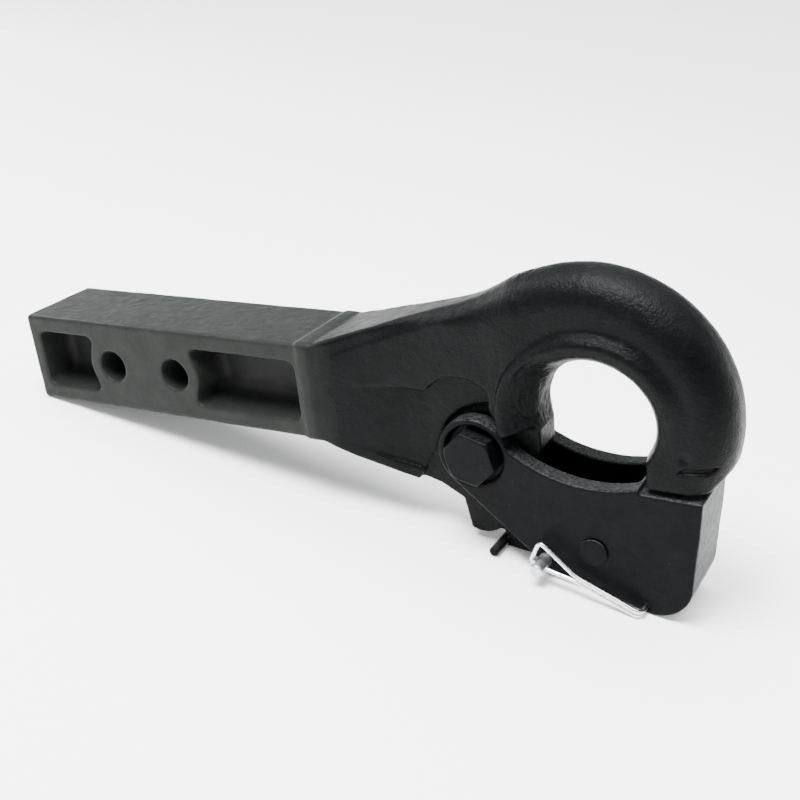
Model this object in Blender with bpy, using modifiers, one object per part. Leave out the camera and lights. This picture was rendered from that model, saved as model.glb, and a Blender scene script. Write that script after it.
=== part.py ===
"""Receiver-mount pintle hook: forged hook on a square shank, with a pinned and locked latch.

Design frame, in millimetres: origin at the middle of the shank's tail end, +X along the shank
towards the hook, +Y to the nut side, +Z towards the hook's round top.  The empty "rest_tilt"
stands that frame on the ground, on the shank's tail edge and the latch's lower corner.
"""
import math

import bmesh
import bpy
from mathutils import Matrix, Vector

MM = 0.001
GAP = 0.3                       # clearance between pieces that touch

# shank
SHANK = 50.8                    # square bar, side
HALF = SHANK / 2
TAIL = -2.2                     # tail end of the shank
SHANK_END = 192.0               # where the neck starts
EDGE = 2.5                      # radius of the shank's long edges
HITCH_HOLES = (58.6, 103.0)     # hitch pin holes, places along X
HITCH_R = 8.75
BOSS_R = 16.4                   # material left round each hitch pin hole
POCKET_H = 16.3                 # half height of the forged pockets
POCKET_DEPTH = 20.0
POCKETS = ((6.5, 45.5), (116.0, 182.5))

# eye and horn
EYE = (334.5, -1.5)             # centre of the eye
EYE_R = 26.2                    # eye radius at mid-thickness
HORN = (329.5, -0.2)            # centre of the horn's outer curve
HORN_R = 68.2
RING_B = (18.4, 21.0)           # horn half width: tip, top
BEAD_A = 10.0                   # half height of the bead beside the neck
TIP_Z = -28.4                   # flat end of the horn
TIP_X = 23.8                    # its inner side, ahead of the eye's centre
PLATE_W = 15.0                  # half width of the neck's upper web
LOWER_W = 11.5                  # half width of its lower web
TONGUE_W = 9.2                  # half width of the tongue between the cheeks

# latch
PIVOT = (276.0, -24.5)
CHEEK_OUT = 19.0
CHEEK_IN = 9.6
CHEEK_R = 18.8                  # rounded end of the cheeks
SPOT_R = 16.5                   # spot face for bolt head and washer
SPOT_Y = 13.7
JAW_ARC = ((335.0, 37.8), 70.0)  # concave top edge: centre, radius
NOSE_R = 18.3
NOSE_C = (362.8, -74.6)
HEEL = (309.0, -80.5)           # corner between the rear and the bottom edges
REAR_ANGLE = 227.3              # where the rear edge leaves the rounded end
OPEN_DEG = 75.0

# pivot bolt, 5/8 inch
BOLT_R = 7.94
BOLT_AF = 23.8
BOLT_HEAD = (-23.4, -14.0)
BOLT_END = 31.0
BORE_CLEAR = 0.25
WASHER = (14.5, 14.0, 16.4)     # radius, from, to
NUT = (16.7, 26.6)
NUT_COLLAR = (10.6, 29.4)       # radius, to
INSERT = (8.2, 9.5, 27.0, 29.1)  # inner and outer radius, from, to

# lock dog and trigger
RIVET = (334.9, -64.8)
RIVET_R = 3.5
RIVET_HEAD = (7.1, 1.7)         # radius, height
DOG_W = 8.5
DOG_HUB = 9.0
LIP_R = 48.8                    # locking lip on the tongue, distance from the pivot
NOSE_TOP_R = 47.4               # dog's catch, distance from the pivot
DOG_BACK_R = 49.6
BAR = (282.8, -75.6)            # trigger bar
BAR_R = 2.4
BAR_HALF = 19.5
DOG_DEG = 8.0
SPRING_R = 5.3
SPRING_WIRE = 0.6
SPRING_TURNS = 3

# safety pin and bail
PIN = (310.2, -73.8)
PIN_R = 3.17
PIN_HALF = 31.0
BAIL_Y = 25.2                   # bail's near run, distance from the middle
BAIL_FAR_Y = 27.9               # its far run
WIRE_R = 1.0
BAIL_DEG = -22.0                # direction of the bail's hinge hole in the side view
CORNER = (357.3, -89.7)         # where the bail turns under the latch
SADDLE_R = PIN_R + WIRE_R + 0.3

TILT_DEG = 10.5957
STAND = (-192.859, 0.0, 24.912)  # ground position of the design frame's origin

COLOURS = {
    "black": ((0.030, 0.032, 0.034, 1.0), 0.5, 0.4),
    "shank": ((0.075, 0.072, 0.066, 1.0), 0.55, 0.5),
    "zinc": ((0.80, 0.81, 0.82, 1.0), 0.25, 1.0),
    "steel": ((0.10, 0.10, 0.105, 1.0), 0.4, 0.8),
    "nylon": ((0.75, 0.76, 0.74, 1.0), 0.5, 0.0),
}


def clear_scene():
    for obj in list(bpy.data.objects):
        bpy.data.objects.remove(obj, do_unlink=True)
    for collection in list(bpy.data.collections):
        bpy.data.collections.remove(collection)


clear_scene()
PARTS = bpy.data.collections.new("pintle_hook")
CUTTERS = bpy.data.collections.new("cutters")
for _collection in (PARTS, CUTTERS):
    bpy.context.scene.collection.children.link(_collection)


def material(name):
    colour, roughness, metallic = COLOURS[name]
    mat = bpy.data.materials.new(name)
    mat.use_nodes = True
    shader = mat.node_tree.nodes["Principled BSDF"]
    shader.inputs["Base Color"].default_value = colour
    shader.inputs["Roughness"].default_value = roughness
    shader.inputs["Metallic"].default_value = metallic
    return mat


MATERIALS = {name: material(name) for name in COLOURS}


def polar(centre, radius, degrees):
    """Point of the side view (x, z) at an angle round a centre."""
    a = math.radians(degrees)
    return (centre[0] + radius * math.cos(a), centre[1] + radius * math.sin(a))


def arc(centre, radius, start, end, steps):
    """Points of the side view on an arc, both ends included."""
    return [polar(centre, radius, start + (end - start) * i / steps) for i in range(steps + 1)]


def blend(value, low, high):
    """Smooth 0 to 1 as value goes from low to high."""
    t = min(1.0, max(0.0, (value - low) / (high - low)))
    return t * t * (3 - 2 * t)


def along(table, x):
    """Linear reading of a table of (x, a, b, ...) rows."""
    for left, right in zip(table, table[1:]):
        if x <= right[0]:
            t = (x - left[0]) / (right[0] - left[0])
            return [a + (b - a) * t for a, b in zip(left[1:], right[1:])]
    return list(table[-1][1:])


def add(name, mesh, collection=None):
    obj = bpy.data.objects.new(name, mesh)
    (collection or CUTTERS).objects.link(obj)
    return obj


def bake(obj):
    """Replace an object's data by its evaluated mesh, with loose seams merged."""
    bpy.context.view_layer.update()
    depsgraph = bpy.context.evaluated_depsgraph_get()
    mesh = bpy.data.meshes.new_from_object(obj.evaluated_get(depsgraph))
    name = obj.name
    bpy.data.objects.remove(obj, do_unlink=True)
    bm = bmesh.new()
    bm.from_mesh(mesh)
    bmesh.ops.remove_doubles(bm, verts=bm.verts, dist=1e-6)
    bmesh.ops.recalc_face_normals(bm, faces=bm.faces)
    bm.to_mesh(mesh)
    bm.free()
    return add(name, mesh)


def prism(name, outline, y0, y1):
    """Closed solid: an outline of the side view, filled and extruded from y0 to y1."""
    curve = bpy.data.curves.new(name, "CURVE")
    curve.dimensions = "2D"
    curve.fill_mode = "BOTH"
    curve.extrude = (y1 - y0) / 2 * MM
    spline = curve.splines.new("POLY")
    spline.points.add(len(outline) - 1)
    for point, (x, z) in zip(spline.points, outline):
        point.co = (x * MM, z * MM, 0.0, 1.0)
    spline.use_cyclic_u = True
    obj = bake(add(name, curve))
    turn = Matrix.Translation((0, (y0 + y1) / 2 * MM, 0)) @ Matrix.Rotation(math.pi / 2, 4, "X")
    obj.data.transform(turn)
    return obj


def box(name, low, high):
    bm = bmesh.new()
    bmesh.ops.create_cube(bm, size=1.0)
    size = [b - a for a, b in zip(low, high)]
    middle = [(a + b) / 2 for a, b in zip(low, high)]
    bmesh.ops.scale(bm, vec=Vector(size) * MM, verts=bm.verts)
    bmesh.ops.translate(bm, vec=Vector(middle) * MM, verts=bm.verts)
    mesh = bpy.data.meshes.new(name)
    bm.to_mesh(mesh)
    bm.free()
    return add(name, mesh)


def rod(name, place, radius, y0, y1, sides=40, turn=0.0):
    """Round (or, with few sides, polygonal) bar along Y at a place of the side view."""
    bm = bmesh.new()
    bmesh.ops.create_cone(bm, cap_ends=True, segments=sides, radius1=radius * MM,
                          radius2=radius * MM, depth=(y1 - y0) * MM)
    spin = Matrix.Rotation(math.radians(turn), 4, "Y") @ Matrix.Rotation(math.pi / 2, 4, "X")
    shift = Matrix.Translation((place[0] * MM, (y0 + y1) / 2 * MM, place[1] * MM))
    bmesh.ops.transform(bm, matrix=shift @ spin, verts=bm.verts)
    mesh = bpy.data.meshes.new(name)
    bm.to_mesh(mesh)
    bm.free()
    return add(name, mesh)


def turned(name, place, profile, steps=32):
    """Turned piece on an axis along Y: profile of (radius, y), from -Y to +Y, ends on the axis."""
    mesh = bpy.data.meshes.new(name)
    verts = [(r * MM, 0.0, -y * MM) for r, y in profile]
    mesh.from_pydata(verts, [(i, i + 1) for i in range(len(verts) - 1)], [])
    obj = add(name, mesh)
    screw = obj.modifiers.new("turn", "SCREW")
    screw.axis = "Z"
    screw.steps = steps
    screw.render_steps = steps
    screw.use_merge_vertices = True
    screw.merge_threshold = 1e-6
    obj = bake(obj)
    turn = Matrix.Rotation(math.pi / 2, 4, "X")
    obj.data.transform(Matrix.Translation((place[0] * MM, 0, place[1] * MM)) @ turn)
    return obj


def loft(name, sections):
    """Closed solid through rings of points of equal count, with flat ends."""
    bm = bmesh.new()
    rings = [[bm.verts.new(Vector(p) * MM) for p in ring] for ring in sections]
    count = len(rings[0])
    for a, b in zip(rings, rings[1:]):
        for i in range(count):
            j = (i + 1) % count
            bm.faces.new((a[i], a[j], b[j], b[i]))
    bm.faces.new(list(reversed(rings[0])))
    bm.faces.new(rings[-1])
    bmesh.ops.recalc_face_normals(bm, faces=bm.faces)
    mesh = bpy.data.meshes.new(name)
    bm.to_mesh(mesh)
    bm.free()
    return add(name, mesh)


def wire(name, points, radius, collection=None):
    """Round wire through points, with filled ends, as a mesh."""
    curve = bpy.data.curves.new(name, "CURVE")
    curve.dimensions = "3D"
    curve.bevel_depth = radius * MM
    curve.bevel_resolution = 2
    curve.use_fill_caps = True
    curve.twist_mode = "MINIMUM"
    spline = curve.splines.new("POLY")
    spline.points.add(len(points) - 1)
    for point, place in zip(spline.points, points):
        point.co = (*(Vector(place) * MM), 1.0)
    return bake(add(name, curve, collection))


def boolean(target, tools, operation="DIFFERENCE"):
    """Cut or join solids exactly and keep the result under the target's name."""
    for tool in tools:
        modifier = target.modifiers.new(operation.lower(), "BOOLEAN")
        modifier.operation = operation
        modifier.solver = "EXACT"
        modifier.object = tool
        target = bake(target)
        tool.hide_render = True
        tool.display_type = "WIRE"
    return target


def both_sides(make, *args):
    """A tool for the near side and its twin for the far side."""
    return [make(side, *args) for side in (-1, 1)]


def side_prism(name, side, outline, y_in, y_out):
    y0, y1 = sorted((side * y_in, side * y_out))
    return prism(f"{name}_{'near' if side < 0 else 'far'}", outline, y0, y1)


def node(obj, paint, parent):
    """Make a solid a named piece: its material, its collection and its parent empty."""
    CUTTERS.objects.unlink(obj)
    PARTS.objects.link(obj)
    obj.data.transform(Matrix.Translation(-Vector(parent["design_place"])))
    obj.parent = parent
    obj.data.materials.clear()
    obj.data.materials.append(MATERIALS[paint])
    obj.data.shade_smooth()
    obj.data.set_sharp_from_angle(angle=math.radians(30))
    return obj


# ---------------------------------------------------------------- hook body

NECK = (                        # x, top, bottom, half width at the middle, at the top
    (TAIL, HALF - EDGE, -HALF + EDGE, HALF - EDGE, HALF - EDGE),
    (TAIL + EDGE, HALF, -HALF, HALF, HALF),
    (SHANK_END, HALF, -HALF, HALF, HALF),
    (200.0, 27.6, -29.8, 23.3, 23.3),
    (210.0, 30.5, -34.4, 20.9, 21.7),
    (220.0, 33.5, -38.3, 18.4, 19.4),
    (230.0, 36.3, -41.5, 16.5, 16.6),
    (240.0, 39.2, -44.6, 15.4, 13.6),
    (252.0, 42.6, -47.9, 14.7, 12.2),
    (262.0, 45.3, -52.0, 14.3, 11.8),
)


def neck_section(x, top, bottom, half_width, top_width):
    """Rounded section across the shank or neck; above the middle the sides lean in."""
    edge = min(EDGE, half_width)
    points = []
    for corner, (sy, sz) in enumerate(((1, 1), (-1, 1), (-1, -1), (1, -1))):
        edge_z, width = (top, top_width) if sz > 0 else (bottom, half_width)
        for i in range(4):
            a = math.radians(90 * corner + 30 * i)
            y = sy * (width - edge) + edge * math.cos(a)
            z = edge_z - sz * edge + edge * math.sin(a)
            points.append((x, y, z))
        if corner in (1, 3):
            points.append((x, (-1 if corner == 1 else 1) * half_width, 6.0))
    return points


def shank_and_neck():
    return loft("hook_body", [neck_section(*row) for row in NECK])


def tongue_outline():
    """Side view of the web between horn and neck, with the tongue and the locking tooth."""
    top = [(238.0, 33.0), (256.0, 41.6), (270.0, 45.8), (283.0, 49.6), (292.0, 54.5)]
    into_ring = arc(EYE, 58.0, 120, 90, 4) + arc(EYE, 36.0, 90, 180, 12)
    front = [(298.5, -9.6), (306.6, -9.6), (306.6, -22.0)]
    throat = arc(PIVOT, 28.0, -8, -60, 8)
    flank = [(289.2, -51.0), (289.0, -70.4)]
    lip = [polar(PIVOT, LIP_R, -75.2), polar(PIVOT, LIP_R, -78.0), (284.6, -68.6)]
    tooth = arc((273.0, -57.0), 14.5, -50, -116, 8)
    heel = [(263.4, -54.2), (250.0, -47.3), (238.0, -43.9)]
    return top + into_ring + front + throat + flank + lip + tooth + heel


def ring_section(degrees):
    """Section of the horn or, beside the neck, of the bead round the eye."""
    a = math.radians(degrees)
    ux, uz = math.cos(a), math.sin(a)
    dx, dz = EYE[0] - HORN[0], EYE[1] - HORN[1]
    b = ux * dx + uz * dz
    outer = -b + math.sqrt(b * b - dx * dx - dz * dz + HORN_R ** 2)
    inner = max(EYE_R, TIP_X / ux) if degrees < 0 else EYE_R
    full = (outer - inner) / 2
    thick = full + (BEAD_A - full) * blend(degrees, 128, 165)
    half = RING_B[0] + (RING_B[1] - RING_B[0]) * blend(degrees, -30, 80)
    middle = inner + thick
    power = 2 / 2.5
    points = []
    for i in range(28):
        t = 2 * math.pi * i / 28
        c, s = math.cos(t), math.sin(t)
        r = middle + thick * math.copysign(abs(c) ** power, c)
        y = half * math.copysign(abs(s) ** power, s)
        points.append((EYE[0] + r * ux, y, EYE[1] + r * uz))
    return points


def horn():
    return loft("horn", [ring_section(-48 + 6 * i) for i in range(43)])


def lower_web_tool(side):
    """Takes the neck's side down to its lower web, under a ledge that rises round the pivot."""
    depth = ((205.0, 22.3), (226.3, 16.1), (240.0, 12.4), (250.0, LOWER_W), (300.0, LOWER_W))
    ledge = [(205.0, 5.3), (226.3, 4.9), (240.0, 4.5), (251.6, 4.2)]
    ledge += arc((269.3, -9.2), 22.3, 140, 52, 7) + [(283.6, 7.4)]
    rings = []
    for x, z in ledge:
        y = along(depth, x)[0]
        rings.append([(x, side * y, -90.0), (x, side * 61.0, -90.0), (x, side * 61.0, z),
                      (x, side * y, z)])
    return loft(f"lower_web_{side}", rings)


def cheek_room_tool(side):
    """Room for a cheek of the latch, shut and open."""
    stop = REAR_ANGLE - OPEN_DEG
    tangent = polar(PIVOT, 20.8, stop)
    low = (tangent[0] - 75 * math.sin(math.radians(stop)),
           tangent[1] + 75 * math.cos(math.radians(stop)))
    round_end = arc(PIVOT, 20.8, stop, 75, 6)
    roof = [(284.0, -1.2), (288.7, -9.4), (300.0, -10.4), (315.0, -7.6), (345.0, -7.6)]
    outline = [low, *round_end, *roof, (345.0, -120.0), (low[0], -120.0)]
    return side_prism("cheek_room", side, outline, TONGUE_W, 40.0)


def pocket_tool(side, index):
    """One forged pocket in the shank's side, with the hitch hole's boss left standing."""
    x0, x1 = POCKETS[index]
    hole = HITCH_HOLES[index]
    corner = 4.0
    sweep = math.degrees(math.acos((abs((x1 if index == 0 else x0) - hole)) / BOSS_R))
    if index == 0:
        wall = arc((hole, 0.0), BOSS_R, 180 + sweep, 180 - sweep, 6)
        square = [(x1, -POCKET_H + corner), *wall, (x1, POCKET_H - corner)]
        ends = arc((x1 - corner, POCKET_H - corner), corner, 0, 90, 3)[1:]
        ends += arc((x0 + corner, POCKET_H - corner), corner, 90, 180, 3)
        ends += arc((x0 + corner, -POCKET_H + corner), corner, 180, 270, 3)
        ends += arc((x1 - corner, -POCKET_H + corner), corner, 270, 360, 3)[:-1]
    else:
        wall = arc((hole, 0.0), BOSS_R, sweep, -sweep, 6)
        square = [(x0, POCKET_H - corner), *wall, (x0, -POCKET_H + corner)]
        ends = arc((x0 + corner, -POCKET_H + corner), corner, 180, 270, 3)[1:]
        ends += arc((x1 - corner, -POCKET_H + corner), corner, 270, 360, 3)
        ends += arc((x1 - corner, POCKET_H - corner), corner, 0, 90, 3)
        ends += arc((x0 + corner, POCKET_H - corner), corner, 90, 180, 3)[:-1]
    return side_prism(f"pocket_{index}", side, square + ends, HALF - POCKET_DEPTH, 40.0)


def make_hook_body(parent):
    body = shank_and_neck()
    body = boolean(body, [prism("web", tongue_outline(), -PLATE_W, PLATE_W)], "UNION")
    body = boolean(body, both_sides(lower_web_tool))
    body = boolean(body, [horn()], "UNION")
    tools = both_sides(cheek_room_tool)
    tools.append(box("tip_cut", (345, -40, -110), (430, 40, TIP_Z)))
    tools.append(box("throat_cut", (307.0, -40, -60), (350, 40, -9.0)))
    for index in range(len(POCKETS)):
        tools += both_sides(pocket_tool, index)
    tools += [rod(f"hitch_hole_{i}", (x, 0.0), HITCH_R, -40, 40, 48)
              for i, x in enumerate(HITCH_HOLES)]
    tools.append(rod("pivot_bore", PIVOT, BOLT_R + BORE_CLEAR, -40, 40))
    node(boolean(body, tools), "shank", parent)


# ---------------------------------------------------------------- latch

def jaw_outline():
    centre, radius = JAW_ARC
    start = math.degrees(math.atan2(-18.7 - centre[1], 293.9 - centre[0]))
    top = arc(centre, radius, start % 360, 288.2, 14)
    land = [(357.4, -31.0), (385.6, -31.4)]
    front = [(384.0, -50.0)]
    nose = arc(NOSE_C, NOSE_R, 0, -102, 10)
    heel = arc((HEEL[0] + 4.6, HEEL[1] + 6.2), 5.0, 256, 227, 3)
    end_round = arc(PIVOT, CHEEK_R, REAR_ANGLE, 19, 26)
    return end_round + top + land + front + nose + heel


def bail_slot():
    """Slot across the latch's lower corner for the bail's two wires."""
    a = math.radians(BAIL_DEG)
    along_bail = (math.cos(a), math.sin(a))
    up = (-math.sin(a), math.cos(a))
    half, roof = WIRE_R + 0.45, 2 * WIRE_R + 0.55
    corners = ((-half, -9.0), (half, -9.0), (half, roof - 0.8), (half - 0.8, roof),
               (0.8 - half, roof), (-half, roof - 0.8))
    outline = [(CORNER[0] + s * along_bail[0] + t * up[0], CORNER[1] + s * along_bail[1] + t * up[1])
               for s, t in corners]
    return prism("bail_slot", outline, -40, 40)


def make_latch_jaw(parent):
    jaw = prism("latch_jaw", jaw_outline(), -CHEEK_OUT, CHEEK_OUT)
    channel = [(240.0, 10.0), (356.0, 10.0), (352.0, -84.0), (322.0, -79.0), (322.0, -110.0),
               (240.0, -110.0)]
    tools = [prism("channel", channel, -CHEEK_IN, CHEEK_IN)]
    tools += [rod("spot_near", PIVOT, SPOT_R, -30, -SPOT_Y), rod("spot_far", PIVOT, SPOT_R, SPOT_Y, 30)]
    tools.append(rod("bolt_bore", PIVOT, BOLT_R + BORE_CLEAR, -40, 40))
    tools.append(rod("rivet_bore", RIVET, RIVET_R + BORE_CLEAR, -40, 40, 28))
    tools.append(rod("pin_bore", PIN, PIN_R + BORE_CLEAR, -40, 40, 28))
    tools.append(bail_slot())
    node(boolean(jaw, tools), "black", parent)


# ---------------------------------------------------------------- pivot bolt

def hexagon(name, y0, y1, turn=0.0):
    return rod(name, PIVOT, BOLT_AF / 2 / math.cos(math.pi / 6), y0, y1, 6, turn)


def make_pivot(parent):
    head = hexagon("pivot_bolt", *BOLT_HEAD, turn=14.0)
    r, end, chamfer = BOLT_R, BOLT_END, 1.0
    shaft = turned("bolt_shaft", PIVOT, [(0, BOLT_HEAD[0] + 3), (r, BOLT_HEAD[0] + 3),
                                         (r, end - chamfer), (r - chamfer, end), (0, end)])
    crown = turned("head_crown", PIVOT, [(0, BOLT_HEAD[0] - 1), (BOLT_AF / 2 - 1.6, BOLT_HEAD[0] - 1),
                                         (BOLT_AF / 2 + 3.6, BOLT_HEAD[0] + 2), (BOLT_AF, 20), (0, 20)])
    head = boolean(head, [crown], "INTERSECT")
    node(boolean(head, [shaft], "UNION"), "black", parent)

    bore = BOLT_R + BORE_CLEAR
    radius, y0, y1 = WASHER
    washer = rod("pivot_washer", PIVOT, radius, y0, y1)
    node(boolean(washer, [rod("washer_bore", PIVOT, bore + 0.2, y0 - 1, y1 + 1)]), "zinc", parent)

    nut = hexagon("pivot_nut", *NUT, turn=5.0)
    collar = turned("nut_collar", PIVOT, [(0, NUT[1] - 1), (NUT_COLLAR[0] + 0.5, NUT[1] - 1),
                                          (NUT_COLLAR[0], NUT_COLLAR[1]), (0, NUT_COLLAR[1])])
    nut = boolean(nut, [collar], "UNION")
    seat = rod("insert_seat", PIVOT, INSERT[1] + GAP, INSERT[2] - GAP, NUT_COLLAR[1] + 1)
    nut = boolean(nut, [rod("nut_bore", PIVOT, bore, NUT[0] - 1, NUT_COLLAR[1] + 1), seat])
    node(nut, "zinc", parent)

    insert = rod("nut_insert", PIVOT, INSERT[1], INSERT[2], INSERT[3])
    hole = rod("insert_bore", PIVOT, INSERT[0], INSERT[2] - 1, INSERT[3] + 1)
    node(boolean(insert, [hole]), "nylon", parent)


# ---------------------------------------------------------------- lock dog

def dog_outline():
    """Side view of the dog: catch, back, hub, pin notch and tail, clockwise from the catch."""
    catch = arc(PIVOT, NOSE_TOP_R, -72.2, -67.5, 2)
    back = arc(PIVOT, DOG_BACK_R, -67.0, -50.0, 5) + [(320.0, -56.6)]
    hub = arc(RIVET, DOG_HUB, 110, -105, 12)
    lean = math.radians(110)
    pull = 2 * math.sin(math.radians(DOG_DEG / 2)) * math.dist(PIN, RIVET) + 0.6
    top = (PIN[0] + pull * math.cos(lean), PIN[1] + pull * math.sin(lean))
    room = PIN_R + 0.5
    notch = [(PIN[0] + room, -76.4), (PIN[0] + room, PIN[1])]
    notch += arc(top, room, 0, 200, 8)
    notch += [(PIN[0] - room - 0.3, -79.4)]
    tail = [(300.0, -79.3), (BAR[0] + 1.4, -77.5)]
    seat = arc(BAR, BAR_R + GAP, -55, 72, 6)
    step = arc(PIVOT, DOG_BACK_R, -80.0, -72.6, 3)
    return catch + back + hub + notch + tail + seat + step


def make_dog(parent):
    dog = prism("lock_dog", dog_outline(), -DOG_W, DOG_W)
    spring_room = rod("spring_room", RIVET, DOG_HUB + 4.0, 3.4, 12, 24)
    leg_room = prism("leg_room", [(318.5, -66.6), (335.0, -66.6), (335.0, -58.4), (318.5, -58.4)],
                     3.4, 12)
    bore = rod("dog_bore", RIVET, RIVET_R + BORE_CLEAR, -12, 12, 28)
    node(boolean(dog, [spring_room, leg_room, bore]), "black", parent)

    end = BAR_HALF
    profile = [(0, -end), (BAR_R - 0.5, -end), (BAR_R, -end + 0.5), (BAR_R, end - 0.5),
               (BAR_R - 0.5, end), (0, end)]
    node(turned("trigger_bar", BAR, profile, 20), "black", parent)


def make_rivet_and_spring(parent):
    head_r, head_h = RIVET_HEAD
    y0 = CHEEK_OUT + GAP
    y1 = y0 + head_h
    profile = [(0, -y1), (head_r - 0.9, -y1), (head_r, -y1 + 0.7), (head_r, -y0), (RIVET_R, -y0),
               (RIVET_R, y0), (head_r, y0), (head_r, y1 - 0.7), (head_r - 0.9, y1), (0, y1)]
    node(turned("dog_rivet", RIVET, profile, 28), "black", parent)

    points = [(319.5, 4.6, RIVET[1] + SPRING_R), (327.0, 4.6, RIVET[1] + SPRING_R)]
    steps = 12
    for i in range(steps * SPRING_TURNS + steps // 2 + 1):
        x, z = polar(RIVET, SPRING_R, 90 - 360 * i / steps)
        points.append((x, 4.6 + 1.2 * i / steps, z))
    last = points[-1][1]
    points += [(RIVET[0] - 6.0, last, RIVET[1] - SPRING_R), (RIVET[0] - 9.0, last, -79.2)]
    node(wire("dog_spring", points, SPRING_WIRE), "zinc", parent)


# ---------------------------------------------------------------- safety pin and bail

def bail_axes():
    a = math.radians(BAIL_DEG)
    return Vector((math.cos(a), 0, math.sin(a))), Vector((-math.sin(a), 0, math.cos(a)))


def make_safety_pin(parent):
    end, chamfer, r = PIN_HALF, 0.9, PIN_R
    profile = [(0, -end), (r - chamfer, -end), (r, -end + chamfer), (r, end - 3.0), (r - 1.6, end),
               (0, end)]
    pin = turned("safety_pin", PIN, profile, 24)
    d, _ = bail_axes()
    bm = bmesh.new()
    bmesh.ops.create_cone(bm, cap_ends=True, segments=16, radius1=(WIRE_R + 0.25) * MM,
                          radius2=(WIRE_R + 0.25) * MM, depth=20 * MM)
    aim = d.to_track_quat("Z", "Y").to_matrix().to_4x4()
    centre = Vector((PIN[0], -BAIL_Y, PIN[1])) * MM
    bmesh.ops.transform(bm, matrix=Matrix.Translation(centre) @ aim, verts=bm.verts)
    mesh = bpy.data.meshes.new("bail_hole")
    bm.to_mesh(mesh)
    bm.free()
    node(boolean(pin, [add("bail_hole", mesh)]), "zinc", parent)


def rounded_path(points, radius, steps=4):
    """Straight runs through points, with each inner corner rounded."""
    places = [Vector(p) for p in points]
    path = [places[0]]
    for before, here, after in zip(places, places[1:], places[2:]):
        a, b = (before - here), (after - here)
        cut = min(radius, a.length * 0.45, b.length * 0.45)
        start, end = here + a.normalized() * cut, here + b.normalized() * cut
        for i in range(steps + 1):
            t = i / steps
            path.append((1 - t) ** 2 * start + 2 * t * (1 - t) * here + t * t * end)
    path.append(places[-1])
    return path


def bail_track(side):
    """Run of one of the bail's two wires, from beside the pin to the saddle's open end.

    side is +1 for the upper wire and -1 for the lower one."""
    d, n = bail_axes()
    pair = WIRE_R + 0.08
    pin_near = Vector((PIN[0], -BAIL_Y, PIN[1]))
    corner = Vector((CORNER[0], 0, CORNER[1]))
    near_y, far_y = Vector((0, -BAIL_Y, 0)), Vector((0, BAIL_FAR_Y, 0))
    join = Vector((327.6, -BAIL_Y, -77.3))
    if side > 0:
        start = [pin_near - d * 0.7, pin_near - d * 5.0, Vector((310.6, -BAIL_Y, -60.8)), join + n * pair]
    else:
        start = [pin_near + d * 0.7, pin_near + d * 5.0, join - n * pair]
    turn = [corner + near_y + n * pair * side, corner + far_y + n * pair * side]
    saddle_y = BAIL_FAR_Y + side * (WIRE_R + 0.35)
    saddle = [Vector((x, saddle_y, z)) for x, z in arc(PIN, SADDLE_R, -48, -200, 9)]
    lead = Vector((PIN[0] + 13.0, BAIL_FAR_Y + side * (WIRE_R + 0.2), PIN[1] - 8.6))
    return rounded_path(start + turn + [lead], 3.0)[:-1] + [lead] + saddle


def make_bail(parent):
    upper, lower = bail_track(1), bail_track(-1)
    middle = (upper[-1] + lower[-1]) / 2
    _, n = bail_axes()
    reach = (upper[-1] - lower[-1]).length / 2
    across = (upper[-1] - lower[-1]).normalized()
    bend = [middle + across * reach * math.cos(a) + n * reach * math.sin(a)
            for a in (math.radians(30 * i) for i in range(1, 6))]
    node(wire("safety_pin_bail", upper + bend + list(reversed(lower)), WIRE_R), "zinc", parent)


# ---------------------------------------------------------------- assembly

def empty(name, parent, place=(0, 0, 0)):
    """Empty at a place of the design frame; pieces under it are made round that place."""
    obj = bpy.data.objects.new(name, None)
    PARTS.objects.link(obj)
    obj.parent = parent
    obj["design_place"] = Vector(place) * MM
    base = Vector(parent["design_place"]) if parent else Vector()
    obj.location = Vector(place) * MM - base
    return obj


def main():
    stand = empty("rest_tilt", None)
    stand.rotation_euler = (0, -math.radians(TILT_DEG), 0)
    stand.location = Vector(STAND) * MM
    latch = empty("latch_axis", stand, (PIVOT[0], 0, PIVOT[1]))
    dog = empty("dog_axis", latch, (RIVET[0], 0, RIVET[1]))
    pin = empty("pin_axis", latch, (PIN[0], 0, PIN[1]))
    bail = empty("bail_axis", pin, (PIN[0], -BAIL_Y, PIN[1]))
    make_hook_body(stand)
    make_latch_jaw(latch)
    make_pivot(latch)
    make_rivet_and_spring(latch)
    make_dog(dog)
    make_safety_pin(pin)
    make_bail(bail)
    for tool in CUTTERS.objects:
        tool.hide_render = True
        tool.display_type = "WIRE"
    bpy.context.view_layer.update()


main()
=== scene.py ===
"""Looks of the receiver-mount pintle hook.

Forged body and latch, pivot bolt with its lock nut, lock dog with its trigger bar and spring,
safety pin with its wire bail, and a plain studio.
"""
import math

import bmesh
import bpy
import numpy as np
from mathutils import Matrix, Vector, noise


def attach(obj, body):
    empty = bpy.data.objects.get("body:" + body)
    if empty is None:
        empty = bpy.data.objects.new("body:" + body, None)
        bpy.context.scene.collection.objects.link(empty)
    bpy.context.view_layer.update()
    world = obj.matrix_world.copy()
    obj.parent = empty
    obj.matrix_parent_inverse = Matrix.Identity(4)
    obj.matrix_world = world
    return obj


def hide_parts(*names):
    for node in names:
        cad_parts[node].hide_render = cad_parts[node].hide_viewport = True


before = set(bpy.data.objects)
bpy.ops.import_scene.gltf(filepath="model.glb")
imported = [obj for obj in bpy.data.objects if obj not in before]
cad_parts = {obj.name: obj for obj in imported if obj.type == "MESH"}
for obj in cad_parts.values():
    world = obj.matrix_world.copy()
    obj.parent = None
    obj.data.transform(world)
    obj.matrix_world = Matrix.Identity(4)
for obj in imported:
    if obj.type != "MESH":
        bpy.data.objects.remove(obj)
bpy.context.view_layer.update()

MM = 0.001
TILT = math.radians(10.5957)    # the hook's lean as it lies on its shank's tail and its latch
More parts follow.
